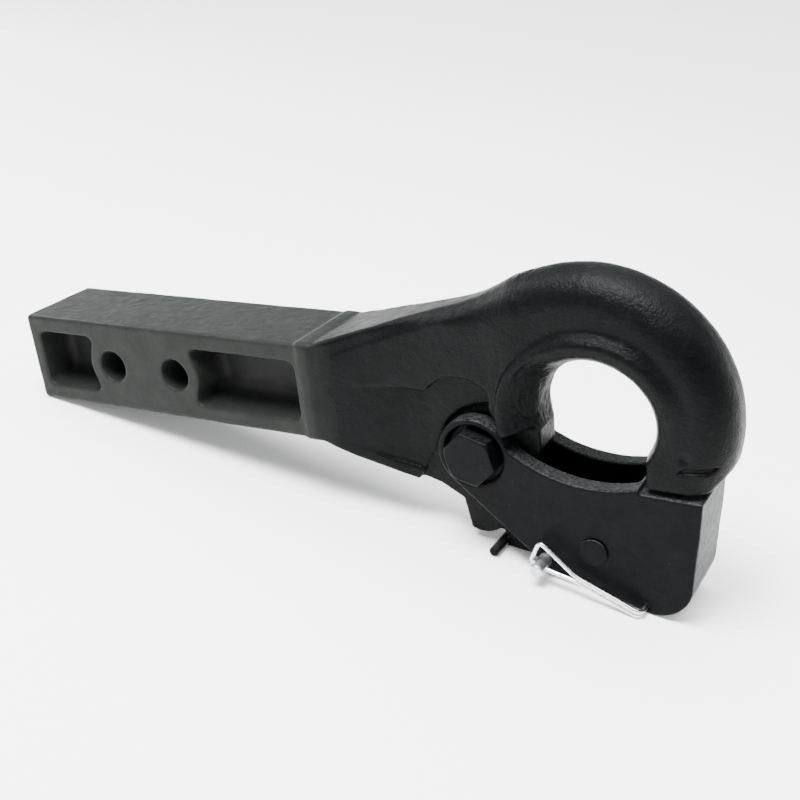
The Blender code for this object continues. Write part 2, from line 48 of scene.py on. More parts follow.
STAND = Vector((-192.859, 0.0, 24.912)) * MM
REST = Matrix.Translation(STAND) @ Matrix.Rotation(-TILT, 4, "Y")   # design frame to ground
FLOOR_GAP = 0.02 * MM

# the same driving sizes as the CAD model, in millimetres of its design frame: x from the shank's
# tail to the horn, y across the thickness, z up
HALF = 25.4                     # half the side of the square shank
TAIL = -2.2
SHANK_END = 193.5
HITCH_HOLES, HITCH_R = (58.6, 103.0), 8.8
POCKETS = ((6.0, 45.8), (115.6, 183.0))
POCKET_FLOOR = 5.6
EYE = (334.5, -1.5)
HORN, HORN_R = (329.5, -0.2), 68.2
TIP_X, TIP_Z = 23.8, -28.4      # inner side of the horn's tip from the eye, and its underside
PIVOT = (276.0, -24.5)
BOLT_BORE, BOLT_R = 8.2, 7.9
HEAD_FACE = -24.6
SPOT_R = 15.4                   # spot face under the bolt's head
LIP_R = 48.8                    # locking lip, from the pivot
TONGUE_W = 9.2
CHANNEL_W = 9.6
CHEEK_W = 19.0
NUT_FOOT, NUT_TOP = 16.75, 26.6
RIVET, RIVET_BORE = (334.9, -64.8), 3.75
DOG_W, DOG_BACK = 8.5, 49.6
PULL = math.radians(8.0)        # the trigger's travel
BAR, BAR_R, BAR_HALF = (282.8, -75.6), 2.4, 19.5
PIN, PIN_R, PIN_HALF = (310.2, -73.8), 3.17, 31.0
PIN_BORE = 3.42
BAIL_LEAN = math.radians(-22.0)
BAIL_NEAR, BAIL_FAR = -25.2, 27.9
WIRE_R = 1.07
CORNER = (358.4, -90.15)        # where the bail turns under the latch
COIL_R, COIL_START, COIL_PITCH = 5.3, 4.6, 1.2
COIL_STEPS = 24                 # points on one turn of the spring


# ---------------------------------------------------------------- distance fields

FAR_INSIDE = -80.0              # a field value where another surface is the nearest


def smooth(value, low, high):
    t = np.clip((value - low) / (high - low), 0.0, 1.0)
    return t * t * (3 - 2 * t)


def meet(a, b, r):
    """Intersection of two fields, its edge rounded to radius r."""
    u, v = np.maximum(a + r, 0), np.maximum(b + r, 0)
    return np.minimum(np.maximum(a, b), -r) + np.hypot(u, v)


def join(a, b, r):
    """Union of two fields, its corner filled to radius r."""
    return -meet(-a, -b, r)


def cut(a, b, r):
    """Field a without field b, the new edge rounded to radius r."""
    return meet(a, -b, r)


def polar(centre, radius, degrees):
    a = math.radians(degrees)
    return (centre[0] + radius * math.cos(a), centre[1] + radius * math.sin(a))


def arc(centre, radius, start, end, steps):
    return [polar(centre, radius, start + (end - start) * i / steps) for i in range(steps + 1)]


def outline(points, X, Z):
    """Signed distance to a closed outline of the side view, negative inside."""
    best = np.full(X.shape, 1e9)
    inside = np.zeros(X.shape, bool)
    for (x0, z0), (x1, z1) in zip(points, points[1:] + points[:1]):
        dx, dz = x1 - x0, z1 - z0
        t = np.clip(((X - x0) * dx + (Z - z0) * dz) / max(dx * dx + dz * dz, 1e-12), 0, 1)
        best = np.minimum(best, np.hypot(X - x0 - t * dx, Z - z0 - t * dz))
        if dz != 0:
            crosses = ((z0 <= Z) != (z1 <= Z)) & (X < x0 + (Z - z0) * dx / dz)
            inside ^= crosses
    return np.where(inside, -best, best)


def disc(centre, radius, X, Z):
    return np.hypot(X - centre[0], Z - centre[1]) - radius


class Grid:
    """Sample points of a block of the design frame; the side view is X, Z and the depth is Y."""

    def __init__(self, low, high, step):
        self.low, self.step = np.array(low, float), step
        sizes = [int(math.ceil((b - a) / step)) + 1 for a, b in zip(low, high)]
        axes = [low[i] + step * np.arange(sizes[i]) for i in range(3)]
        self.X, self.Z = (g[:, None, :] for g in np.meshgrid(axes[0], axes[2], indexing="ij"))
        self.Y = axes[1][None, :, None]


CORNERS = [(i, j, k) for i in (0, 1) for j in (0, 1) for k in (0, 1)]
EDGES = [(a, b) for a in range(8) for b in range(a + 1, 8)
         if sum(p != q for p, q in zip(CORNERS[a], CORNERS[b])) == 1]


def skin(field, grid, name, relax=2):
    """Mesh of a field's zero surface, one vertex in each cell that the surface crosses.

    relax is the number of smoothing rounds, each a step in and a slightly longer step out.
    """
    field = np.broadcast_to(field, np.broadcast_shapes(field.shape, grid.X.shape, grid.Y.shape))
    n = [s - 1 for s in field.shape]
    solid = sum((field[i:i + n[0], j:j + n[1], k:k + n[2]] < 0).astype(np.int8)
                for i, j, k in CORNERS)
    cells = np.argwhere((solid > 0) & (solid < len(CORNERS)))
    index = np.full(solid.shape, -1, np.int64)
    index[tuple(cells.T)] = np.arange(len(cells))
    values = np.stack([field[cells[:, 0] + i, cells[:, 1] + j, cells[:, 2] + k]
                       for i, j, k in CORNERS], 1)
    total, count = np.zeros((len(cells), 3)), np.zeros(len(cells))
    for a, b in EDGES:
        va, vb = values[:, a], values[:, b]
        hit = (va < 0) != (vb < 0)
        t = np.where(hit, va / np.where(hit, va - vb, 1), 0)[:, None]
        place = np.array(CORNERS[a]) * (1 - t) + np.array(CORNERS[b]) * t
        total += np.where(hit[:, None], place, 0)
        count += hit
    verts = (cells + total / count[:, None]) * grid.step + grid.low
    quads = []
    for axis in range(3):
        one, two = [a for a in range(3) if a != axis]
        sign = field < 0
        here = [slice(None)] * 3
        there = [slice(None)] * 3
        here[axis], there[axis] = slice(0, -1), slice(1, None)
        change = sign[tuple(here)] != sign[tuple(there)]
        at = np.argwhere(change)
        at = at[(at[:, one] > 0) & (at[:, two] > 0) & (at[:, one] < field.shape[one] - 1)
                & (at[:, two] < field.shape[two] - 1)]
        inward = sign[tuple(at.T)]
        ring = []
        for s, t in ((1, 1), (0, 1), (0, 0), (1, 0)):
            c = at.copy()
            c[:, one] -= s
            c[:, two] -= t
            ring.append(index[tuple(c.T)])
        ring = np.stack(ring, 1)
        flip = inward if axis != 1 else ~inward
        ring[flip] = ring[flip][:, ::-1]
        quads.append(ring)
    quads = np.concatenate(quads)
    for _ in range(relax):
        for weight in (0.5, -0.52):
            total, count = np.zeros_like(verts), np.zeros(len(verts))
            for i in range(4):
                a, b = quads[:, i], quads[:, (i + 1) % 4]
                for p, q in ((a, b), (b, a)):
                    for axis in range(3):
                        total[:, axis] += np.bincount(p, verts[q, axis], len(verts))
                    count += np.bincount(p, minlength=len(verts))
            verts = verts + weight * (total / count[:, None] - verts)
    mesh = bpy.data.meshes.new(name)
    mesh.vertices.add(len(verts))
    mesh.vertices.foreach_set("co", (verts * MM).ravel())
    mesh.loops.add(quads.size)
    mesh.loops.foreach_set("vertex_index", quads.ravel().astype(np.int32))
    mesh.polygons.add(len(quads))
    mesh.polygons.foreach_set("loop_start", np.arange(0, quads.size, 4, dtype=np.int32))
    mesh.update(calc_edges=True)
    mesh.validate()
    return mesh


WRINKLE, WRINKLE_SEED = (2.2, 2.2, 3.6), 4.4    # size of a wrinkle along x, y and z


def roughen(mesh, layers, protect=None, rough=None):
    """Moves points along their normals by noise.

    layers are (amount in mm, size in mm, seed). rough gives each point's amount of one more
    layer, of wrinkles. protect gives each point's share of all of it.
    """
    count = len(mesh.vertices)
    co, nor = np.empty(count * 3), np.empty(count * 3)
    mesh.vertices.foreach_get("co", co)
    mesh.vertex_normals.foreach_get("vector", nor)
    co, nor = co.reshape(-1, 3), nor.reshape(-1, 3)
    push = np.zeros(count)
    for amount, size, seed in layers:
        scaled = co / (size * MM) + seed
        push += amount * np.fromiter((noise.noise(p) for p in scaled.tolist()), float, count)
    if rough is not None:
        extra = rough(co / MM)
        at = np.nonzero(extra > 0.01)[0]
        grain = (co[at] / (np.array(WRINKLE) * MM) + WRINKLE_SEED).tolist()
        push[at] += extra[at] * np.fromiter((noise.noise(p) - 0.6 * abs(noise.noise(
            (p[2] * 2.1, p[0] * 1.7, p[1] * 1.7))) for p in grain), float, len(at))
    if protect is not None:
        push *= protect(co / MM)
    mesh.vertices.foreach_set("co", (co + nor * push[:, None] * MM).ravel())
    mesh.update()


def rest_on_floor(mesh):
    """Lifts the points that noise put below the floor back to it."""
    count = len(mesh.vertices)
    co = np.empty(count * 3)
    mesh.vertices.foreach_get("co", co)
    co = co.reshape(-1, 3)
    to_world = np.array(REST)
    height = co @ to_world[2, :3] + to_world[2, 3]
    co += np.maximum(FLOOR_GAP - height, 0)[:, None] * to_world[2, :3]
    mesh.vertices.foreach_set("co", co.ravel())
    mesh.update()


# ---------------------------------------------------------------- pieces

def piece(name, mesh, body, node, mat, smooth_angle=None):
    """One visible piece that rides on a body and takes the place of a CAD node."""
    rest_on_floor(mesh)
    obj = bpy.data.objects.new(name, mesh)
    bpy.context.scene.collection.objects.link(obj)
    mesh.materials.clear()
    mesh.materials.append(mat)
    mesh.shade_smooth()
    if smooth_angle is not None:
        mesh.set_sharp_from_angle(angle=math.radians(smooth_angle))
    mesh.transform(REST)
    bpy.context.view_layer.update()
    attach(obj, body)
    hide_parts(node)
    return obj


# edges of the neck in the side view, as (x, z)
NECK_TOP = ((-20, 25.4), (192, 25.4), (200, 27.7), (210, 30.5), (220, 33.4), (230, 36.3),
            (240, 39.2), (252, 42.6), (262, 45.3), (270, 47.6), (278, 50.6), (286, 55.0),
            (294, 59.6), (304, 63.6))
NECK_BOTTOM = ((192, -25.4), (200, -29.8), (210, -34.4), (220, -38.3), (230, -41.5),
               (240, -44.6), (252, -47.9), (263.4, -54.2))


def read(table, x):
    """The table's value at x, on straight lines between its (x, value) rows."""
    return np.interp(x, [row[0] for row in table], [row[1] for row in table])


def below_neck(X, Z):
    """Distance below the neck's bottom line, negative above it."""
    return (read(NECK_BOTTOM, X) - Z) * 0.93


def side_view(X, Z):
    """Distance to the outline of the neck, horn and tongue, with the eye left out."""
    horn_edge = arc(HORN, HORN_R, 116, -23.5, 60)
    lower = [(391.0, -62.0), (346.0, -62.0), (345.0, -22.0), (306.6, -22.0)]
    throat = arc(PIVOT, 28.0, -8, -60, 10) + [(289.2, -51.0), (289.0, -70.4)]
    throat += [polar(PIVOT, LIP_R, -75.2), polar(PIVOT, LIP_R, -78.0), (284.6, -68.6)]
    tooth = arc((273.0, -57.0), 14.5, -50, -116, 12)
    bottom = list(reversed(NECK_BOTTOM))
    lit_top = list(NECK_TOP[1:]) + horn_edge + lower + throat + tooth + bottom
    lit_top += [(186.0, -HALF), (186.0, HALF)]
    return outline(lit_top, X, Z)


def half_thickness(X, Z, rho, round_eye):
    """Half the thickness over the side view: tapered neck, full horn, raised bead by the eye."""
    neck_w = read(((185, 25.4), (192, 25.4), (200, 23.4), (210, 20.9), (220, 18.5), (230, 16.7),
                   (240, 15.6), (252, 15.1), (270, 15.2), (285, 15.8), (300, 17.2)), X)
    lean = read(((192, 0), (200, 0), (215, 0.04), (230, 0.10), (240, 0.42), (252, 0.50),
                 (262, 0.45), (275, 0.2), (290, 0)), X)
    fold = 20.1 + 0.332 * (X - 202.7)
    fold_step = 0.45 * smooth(Z - fold, -0.6, 0.6) * smooth(X, 200, 210) * (
        1 - smooth(X, 246, 256))
    neck_w = neck_w - lean * np.maximum(Z - fold, 0) - fold_step
    flat = read(((-60, 18.0), (-30, 18.2), (0, 18.4), (30, 18.2), (60, 17.6), (90, 17.1),
                 (112, 16.6), (135, 16.0), (160, 15.2), (260, 15.0)), round_eye)
    to_horn = smooth(X, 288, 318)
    crest = read(((-60, 0), (-20, 0), (10, 1.1), (35, 3.1), (60, 4.3), (95, 4.6), (125, 4.8),
                  (150, 5.0), (250, 5.4)), round_eye)
    edge = read(((-60, 47), (60, 46.6), (90, 45.8), (130, 45.0), (165, 46.4), (250, 47.2)),
                round_eye)
    width = read(((-60, 10), (40, 8.2), (80, 7.8), (110, 7.0), (130, 5.0), (150, 2.8),
                  (250, 2.4)), round_eye)
    bead = np.clip((edge - rho) / width, 0, 1)
    return neck_w * (1 - to_horn) + flat * to_horn + crest * bead * bead * (3 - 2 * bead)


def edge_radius(X, Z):
    """Radius of the outer edges: nearly sharp on the neck, round on the horn."""
    grown = read(((0, 2.4), (236, 2.4), (250, 4.0), (262, 7.0), (276, 11), (292, 15), (310, 17)), X)
    on_neck = np.where(Z < 8, 2.4, 2.4 + (grown - 2.4) * smooth(Z, -8, 14))
    return np.where(X > 330, 16.5, on_neck)


def eye_wall(Y, h, rho, theta, round_eye):
    """The eye's wall: a bulge round the horn, a straight wall with a chamfer beside the neck."""
    radius = 27.5
    at_tip = TIP_X / np.cos(np.radians(np.clip(theta, -80, 0)))
    base = np.where((theta < 0) & (theta > -80), np.maximum(radius, at_tip), radius)
    reach = read(((-60, 3.5), (-30, 4.5), (0, 8.0), (30, 9.8), (115, 10.2), (145, 12.2),
                  (250, 12.4)), round_eye)
    power = read(((-60, 2.4), (0, 2.2), (40, 2.0), (125, 2.0), (155, 1.75), (250, 1.75)),
                 round_eye)
    u = np.maximum((base + reach - rho) / reach, 1e-4)
    v = np.maximum(Y / h, 1e-4)
    size = (u ** power + v ** power) ** (1 / power)
    slope = np.hypot((u / size) ** (power - 1) / reach, (v / size) ** (power - 1) / h)
    bulge = np.where(rho < base + reach, (size - 1) / slope, FAR_INSIDE)
    slant = ((27.9 - rho) * 12.5 + (Y - 8.0) * 12.1) / 17.4
    straight = np.where(rho < 60, meet(28.0 - rho + 0 * Y, slant, 3.0), FAR_INSIDE)
    share = smooth(round_eye, 112, 150)
    return bulge * (1 - share) + straight * share


def cheek_room(X, Z):
    """Side view of the recess that the latch's cheeks swing in."""
    far = 75
    stop = 227.3 - 75
    start = polar(PIVOT, 20.8, stop)
    lean = math.radians(stop)
    away = (start[0] - far * math.sin(lean), start[1] + far * math.cos(lean))
    room = [away] + arc(PIVOT, 20.9, stop, 118, 8)
    room += [(265.8, -5.4), (274.1, -1.7), (283.3, 0.6), (284.6, -1.6), (288.6, -9.6),
             (290.6, -11.8), (298.0, -10.6), (306.6, -8.6), (316, -7.4), (345.0, -7.4),
             (345.0, -120.0), (away[0], -120.0)]
    return outline(room, X, Z)


def hook_field(grid):
    X, Y, Z = grid.X, np.abs(grid.Y), grid.Z
    shank = meet(Y - HALF, np.abs(Z) - HALF, 2.4)
    shank = meet(shank, np.maximum(TAIL - X, X - SHANK_END), 2.6)

    dx, dz = X - EYE[0], Z - EYE[1]
    rho = np.hypot(dx, dz)
    theta = np.degrees(np.arctan2(dz, dx))
    round_eye = np.where(theta < -120, theta + 360, theta)
    h = half_thickness(X, Z, rho, round_eye)
    body = meet(Y - h, side_view(X, Z), edge_radius(X, Z))
    body = meet(body, eye_wall(Y, h, rho, theta, round_eye), 1.0)

    # the opening between the eye and the latch, and the horn's tip
    gap = [(306.6, -11.0), (306.6, -22.5), (330.0, -23.0), (358.0, -40.0), (358.0, -11.0)]
    body = cut(body, outline(gap, X, Z) + 0 * Y, 0.8)
    body = meet(body, TIP_Z - Z + 0 * Y - 200 * (X < 343), 1.0)
    corner = ((X - 392.3) * 5.9 - (Z + 22.5) * 5.5) / 8.07
    body = meet(body, corner + 0 * Y - 200 * (Z > 0), 1.2)

    # lower web under the curved ledge
    ledge = [(180.0, 5.9), (205.0, 5.3), (226.3, 4.9), (240.0, 4.5), (251.6, 4.2)]
    ledge += arc((269.3, -9.2), 22.3, 140, 52, 14)
    ledge += [(284.2, 6.6), (283.4, -4.0), (291.0, -12.0), (300, -40), (300, -95), (180, -95)]
    low = outline(ledge, X, Z)
    low_w = read(((180, 40), (205, 22.6), (226, 16.1), (238, 12.6), (248, 11.2), (300, 10.9)), X)
    soft_lip = 1.5 * smooth(-below_neck(X, Z), 7.4, 5.2) * smooth(X, 206, 216) * (
        1 - smooth(X, 246, 252))
    body = cut(body, meet(low, low_w + soft_lip - Y, 1.2), 0.7)
    along = smooth(X, 222, 244) * smooth(-X, -287, -284) * smooth(Z, -3, 0)
    body = body + 0.75 * np.exp(-(low / 0.75) ** 2) * along

    body = cut(body, meet(cheek_room(X, Z), TONGUE_W - Y, 2.0), 0.8)
    body = join(body, shank, 3.0)

    # forged pockets with drafted walls, which follow the bosses of the hitch pin holes
    for (x0, x1), hole in zip(POCKETS, HITCH_HOLES):
        block = meet(np.maximum(x0 - X, X - x1), np.abs(Z + 0.2) - 16.4, 4.6)
        pocket = meet(block, -disc((hole, 0.0), 16.2, X, Z), 3.0)
        draft = 0.10 * (HALF - Y)
        body = cut(body, meet(pocket + draft, POCKET_FLOOR - Y, 5.0), 1.1)
    for hole in HITCH_HOLES:
        body = cut(body, disc((hole, 0.0), HITCH_R, X, Z) + 0 * Y, 0.9)
    body = cut(body, disc(PIVOT, BOLT_BORE, X, Z) + 0 * Y, 0.4)

    # small forging mark and dent on the near side of the horn's tip
    rise = Z + 16.6 - 0.05 * (X - 382)
    mark = meet(np.abs(X - 382.2 - 1.0 * rise) - 6.8, np.abs(rise) - 1.35, 0.3)
    tool = np.maximum(mark, -(body + 1.3))
    body = np.where(grid.Y < 0, cut(body, tool, 0.3), body)
    dent = np.sqrt((X - 377.4) ** 2 + (Z + 11.2) ** 2 + (grid.Y + 20.0) ** 2) - 2.8
    return cut(body, dent, 1.2)


def latch_field(grid):
    X, Y, Z = grid.X, np.abs(grid.Y), grid.Z
    start = math.degrees(math.atan2(-56.5, -41.1)) % 360
    concave = arc((335.0, 37.8), 70.0, start, 288.0, 30)
    land = [(357.6, -30.9), (385.7, -31.4), (384.1, -50.0)]
    nose = arc((362.8, -74.6), 18.3, 0, -102, 16)
    heel = arc((313.6, -74.3), 5.0, 256, 227, 5)
    shape = arc(PIVOT, 18.8, 227.3, 19, 40) + concave + land + nose + heel
    D = outline(shape, X, Z)
    edge = 1.1 + 1.0 * smooth(X, 380, 384) * smooth(-Z, 40, 60)
    body = meet(Y - CHEEK_W, D, edge)
    channel = outline([(240, 20), (357.0, 20), (352.0, -84.0), (322.0, -79.0), (322.0, -130.0),
                       (240.0, -130.0)], X, Z)
    body = cut(body, meet(channel, Y - CHANNEL_W, 2.0), 1.2)
    spot = disc(PIVOT, SPOT_R, X, Z)
    body = cut(body, meet(spot, 13.75 - Y, 1.0), 1.2)
    for centre, bore, rounding in ((PIVOT, BOLT_BORE, 0.4), (RIVET, RIVET_BORE, 0.3),
                                   (PIN, PIN_BORE, 0.5)):
        body = cut(body, disc(centre, bore, X, Z) + 0 * Y, rounding)

    # slot for the bail's wires across the lower corner
    s = (X - CORNER[0]) * math.cos(BAIL_LEAN) + (Z - CORNER[1]) * math.sin(BAIL_LEAN)
    t = -(X - CORNER[0]) * math.sin(BAIL_LEAN) + (Z - CORNER[1]) * math.cos(BAIL_LEAN)
    slot = meet(np.abs(s) - 1.25, np.maximum(t - 2.3, -12 - t), 0.6)
    return cut(body, slot + 0 * Y, 0.3)


def hexagon(X, Z, centre, flats, turn):
    best = None
    for i in range(3):
        a = math.radians(turn + 30 + 60 * i)
        side = np.abs((X - centre[0]) * math.cos(a) - (Z - centre[1]) * math.sin(a)) - flats / 2
        best = side if best is None else meet(best, side, 0.5)
    return best


def slab(Y, low, high):
    return np.maximum(low - Y, Y - high)


def bolt_field(grid):
    X, Y, Z = grid.X, grid.Y, grid.Z
    r = np.hypot(X - PIVOT[0], Z - PIVOT[1])
    turn = np.arctan2(Z - PIVOT[1], X - PIVOT[0]) / (2 * math.pi)
    head = meet(hexagon(X, Z, PIVOT, 24.3, 16.0), slab(Y, HEAD_FACE, -14.0), 0.3)
    head = meet(head, (r - 12.5 - (Y - HEAD_FACE) * 1.55) * 0.54, 0.3)
    shaft = meet(r - BOLT_R, slab(Y, -20.0, 31.0), 0.9)
    thread = (Y / 2.31 + turn) % 1.0
    groove = r - BOLT_R + 0.75 * np.abs(thread * 2 - 1) * smooth(Y, 17.0, 19.0)
    return np.minimum(head, np.maximum(shaft, groove * 0.8))


def washer_field(grid):
    r = np.hypot(grid.X - PIVOT[0], grid.Z - PIVOT[1])
    ring = meet(r - 14.4, slab(grid.Y, 14.05, 16.4), 0.5)
    return cut(ring, r - 8.5 + 0 * grid.Y, 0.3)


def nut_field(grid):
    X, Y, Z = grid.X, grid.Y, grid.Z
    r = np.hypot(X - PIVOT[0], Z - PIVOT[1])
    body = meet(hexagon(X, Z, PIVOT, 23.8, 5.0), slab(Y, NUT_FOOT, NUT_TOP), 0.4)
    body = meet(body, (r - 12.2 - (NUT_TOP - Y) * 1.7) * 0.5, 0.4)
    body = meet(body, (r - 12.4 - (Y - NUT_FOOT) * 1.7) * 0.5, 0.4)
    collar = meet(r - 10.6, slab(Y, 25.0, 29.3), 1.2)
    body = join(body, collar, 0.6)
    body = cut(body, r - 8.3 + 0 * Y, 0.3)
    return cut(body, np.maximum(r - 9.85, 26.7 - Y), 0.3)


def insert_field(grid):
    r = np.hypot(grid.X - PIVOT[0], grid.Z - PIVOT[1])
    ring = meet(r - 9.45, slab(grid.Y, 27.05, 29.0), 0.4)
    return cut(ring, r - 8.2 + 0 * grid.Y, 0.4)


def dog_field(grid):
    X, Y, Z = grid.X, grid.Y, grid.Z
    catch = arc(PIVOT, 47.4, -72.2, -67.5, 3)
    back = arc(PIVOT, DOG_BACK, -67.0, -50.0, 10) + [(320.0, -56.6)]
    hub = arc(RIVET, 9.0, 110, -105, 24)

    # notch round the safety pin, as long as the trigger's travel
    lean = math.radians(110)
    pull = 2 * math.sin(PULL / 2) * math.dist(PIN, RIVET) + 0.6
    top = (PIN[0] + pull * math.cos(lean), PIN[1] + pull * math.sin(lean))
    room = PIN_R + 0.5
    notch = [(PIN[0] + room, -76.4), (PIN[0] + room, PIN[1])] + arc(top, room, 0, 200, 14)
    notch += [(PIN[0] - room - 0.3, -79.4)]
    tail = [(300.0, -79.3), (BAR[0] + 1.4, -77.5)] + arc(BAR, BAR_R + 0.3, -55, 72, 10)
    step = arc(PIVOT, DOG_BACK, -80.0, -72.6, 5)
    shape = outline(catch + back + hub + notch + tail + step, X, Z)
    body = meet(shape, np.abs(Y) - DOG_W, 0.6)

    # room for the spring's coil, its long leg and its foot
    coil = disc(RIVET, 13.0, X, Z)
    leg = outline([(317.0, -68.6), (335.0, -68.6), (335.0, -56.4), (317.0, -56.4)], X, Z)
    body = cut(body, np.maximum(np.minimum(coil, leg), 3.4 - Y), 0.5)
    foot = outline([(315.0, -92.0), (340.0, -92.0), (340.0, -70.0), (315.0, -70.0)], X, Z)
    body = cut(body, np.maximum(foot, 7.6 - Y), 0.3)
    return cut(body, disc(RIVET, RIVET_BORE, X, Z) + 0 * Y, 0.3)


def bar_field(grid):
    return meet(disc(BAR, BAR_R, grid.X, grid.Z), np.abs(grid.Y) - BAR_HALF, 0.8)


def rivet_field(grid):
    Y = np.abs(grid.Y)
    r = np.hypot(grid.X - RIVET[0], grid.Z - RIVET[1])
    head = meet(r - 7.1, slab(Y, 19.3, 21.0), 1.1)
    dome = np.sqrt(r * r + (Y + 13.0) ** 2) - 34.15
    return np.minimum(meet(head, dome, 0.6), meet(r - 3.5, Y - 20.0, 0.2))


def pin_field(grid):
    X, Y, Z = grid.X, grid.Y, grid.Z
    r = np.hypot(X - PIN[0], Z - PIN[1])
    body = meet(r - PIN_R, slab(Y, -PIN_HALF, PIN_HALF), 0.8)
    body = meet(body, (r - 1.9 - (PIN_HALF - Y) * 0.55) * 0.85, 0.5)
    t = -(X - PIN[0]) * math.sin(BAIL_LEAN) + (Z - PIN[1]) * math.cos(BAIL_LEAN)
    return cut(body, np.hypot(t, Y - BAIL_NEAR) - 1.25, 0.25)


# small turned and bent pieces: CAD node, field, low and high corner, grid step, body
BUILT = (
    ("pivot_bolt", bolt_field, (261, -25, -40), (291, 33, -9), 0.4, "latch"),
    ("pivot_washer", washer_field, (260, 13, -40), (292, 18, -9), 0.4, "latch"),
    ("pivot_nut", nut_field, (261, 16, -40), (291, 31, -9), 0.4, "latch"),
    ("nut_insert", insert_field, (265, 26, -36), (287, 30.5, -13), 0.3, "latch"),
    ("lock_dog", dog_field, (280, -10, -82), (346, 10, -53), 0.5, "dog"),
    ("trigger_bar", bar_field, (279, -21, -80), (287, 21, -72), 0.3, "dog"),
    ("dog_rivet", rivet_field, (326, -22.5, -74), (344, 22.5, -56), 0.35, "latch"),
    ("safety_pin", pin_field, (306, -32.5, -78), (315, 32.5, -69), 0.3, "pin"),
)


# ---------------------------------------------------------------- wires

def rounded_path(places, radius, steps=8):
    """The line through the places with its corners rounded off."""
    path = [places[0]]
    for before, here, after in zip(places, places[1:], places[2:]):
        a, b = (before - here), (after - here)
        reach = min(radius, a.length * 0.45, b.length * 0.45)
        start, end = here + a.normalized() * reach, here + b.normalized() * reach
        for i in range(steps + 1):
            t = i / steps
            path.append((1 - t) ** 2 * start + 2 * t * (1 - t) * here + t * t * end)
    path.append(places[-1])
    return path


def tube(name, points, radius):
    """Mesh of a round wire with closed ends."""
    curve = bpy.data.curves.new(name, "CURVE")
    curve.dimensions = "3D"
    curve.bevel_depth = radius * MM
    curve.bevel_resolution = 5
    curve.use_fill_caps = True
    spline = curve.splines.new("POLY")
    spline.points.add(len(points) - 1)
    for point, place in zip(spline.points, points):
        point.co = (*(place * MM), 1.0)
    obj = bpy.data.objects.new(name, curve)
    bpy.context.scene.collection.objects.link(obj)
    bpy.context.view_layer.update()
    graph = bpy.context.evaluated_depsgraph_get()
    mesh = bpy.data.meshes.new_from_object(obj.evaluated_get(graph))
    bpy.data.objects.remove(obj, do_unlink=True)
    bm = bmesh.new()
    bm.from_mesh(mesh)
    bmesh.ops.remove_doubles(bm, verts=bm.verts, dist=1e-6)
    bm.to_mesh(mesh)
    bm.free()
    return mesh


def bail_points():
    """One wire: from the pin's near hole out, under the latch, round the pin's far end and back."""
    d = Vector((math.cos(BAIL_LEAN), 0, math.sin(BAIL_LEAN)))
    n = Vector((-math.sin(BAIL_LEAN), 0, math.cos(BAIL_LEAN)))
    pair = 1.08
    hole = Vector((PIN[0], BAIL_NEAR, PIN[1]))
    corner = Vector((CORNER[0], 0, CORNER[1]))
    merge = Vector((327.6, BAIL_NEAR, -77.3))
    starts = {
        1: [hole - d * 0.7, hole - d * 5.0, Vector((310.6, BAIL_NEAR, -60.8)), merge + n * pair],
        -1: [hole + d * 0.7, hole + d * 5.0, merge - n * pair]}
    tracks = []
    for side, start in starts.items():
        bend = [corner + Vector((0, y, 0)) + n * pair * side for y in (BAIL_NEAR, BAIL_FAR)]
        lead = Vector((PIN[0] + 13.0, BAIL_FAR + side * 1.2, PIN[1] - 8.6))
        saddle = [Vector((x, BAIL_FAR + side * 1.35, z)) for x, z in arc(PIN, 4.47, -48, -200, 24)]
        tracks.append(rounded_path(start + bend + [lead], 3.4) + saddle)
    upper, lower = tracks
    middle = (upper[-1] + lower[-1]) / 2
    reach = (upper[-1] - lower[-1]).length / 2
    across = (upper[-1] - lower[-1]).normalized()
    turn = [middle + across * reach * math.cos(b) + n * reach * math.sin(b)
            for b in (math.radians(15 * i) for i in range(1, 12))]
    return upper + turn + list(reversed(lower))


def spring_points():
    """Long leg, three and a half turns round the rivet, and a short leg."""
    top = RIVET[1] + COIL_R
    points = [Vector((319.5, COIL_START, top)), Vector((327.0, COIL_START, top))]
    for i in range(3 * COIL_STEPS + COIL_STEPS // 2 + 1):
        x, z = polar(RIVET, COIL_R, 90 - 360 / COIL_STEPS * i)
        points.append(Vector((x, COIL_START + COIL_PITCH * i / COIL_STEPS, z)))
    last = points[-1].y
    points.append(Vector((RIVET[0] - 6.0, last, RIVET[1] - COIL_R)))
    points.append(Vector((RIVET[0] - 9.0, last, -79.2)))
    return points


# ---------------------------------------------------------------- finishes

# base colours
PAINT = (0.0008, 0.0010, 0.0011), (0.0018, 0.0021, 0.0023)
LATCH_PAINT = (0.0008, 0.0010, 0.0013), (0.0017, 0.0020, 0.0023)
BARE_SHANK = (0.0088, 0.0097, 0.0090), (0.0123, 0.0134, 0.0125)
SCUFFED = (0.034, 0.034, 0.032)
# worn metal of the eye's wall, also carrying painted light on the wall's far half
WALL_WEAR_AND_LIGHT = (0.072, 0.073, 0.072)
# painted light on the latch's front face
LIT_FRONT_FACE = (0.049, 0.051, 0.052)
# painted light on faces that point up
LIT_TOP_FACES = (0.042, 0.043, 0.044)
CHIPPED = (0.05, 0.05, 0.05)
ZINC_TINT = (0.56, 0.60, 0.62)
BRIGHT_WIRE = (0.86, 0.87, 0.88)
SPRING_TINT = (0.45, 0.45, 0.46)
NYLON_TINT = (0.62, 0.64, 0.60), (0.70, 0.71, 0.68)
FLOOR_TINT = (0.90, 0.90, 0.90), (0.92, 0.92, 0.915)


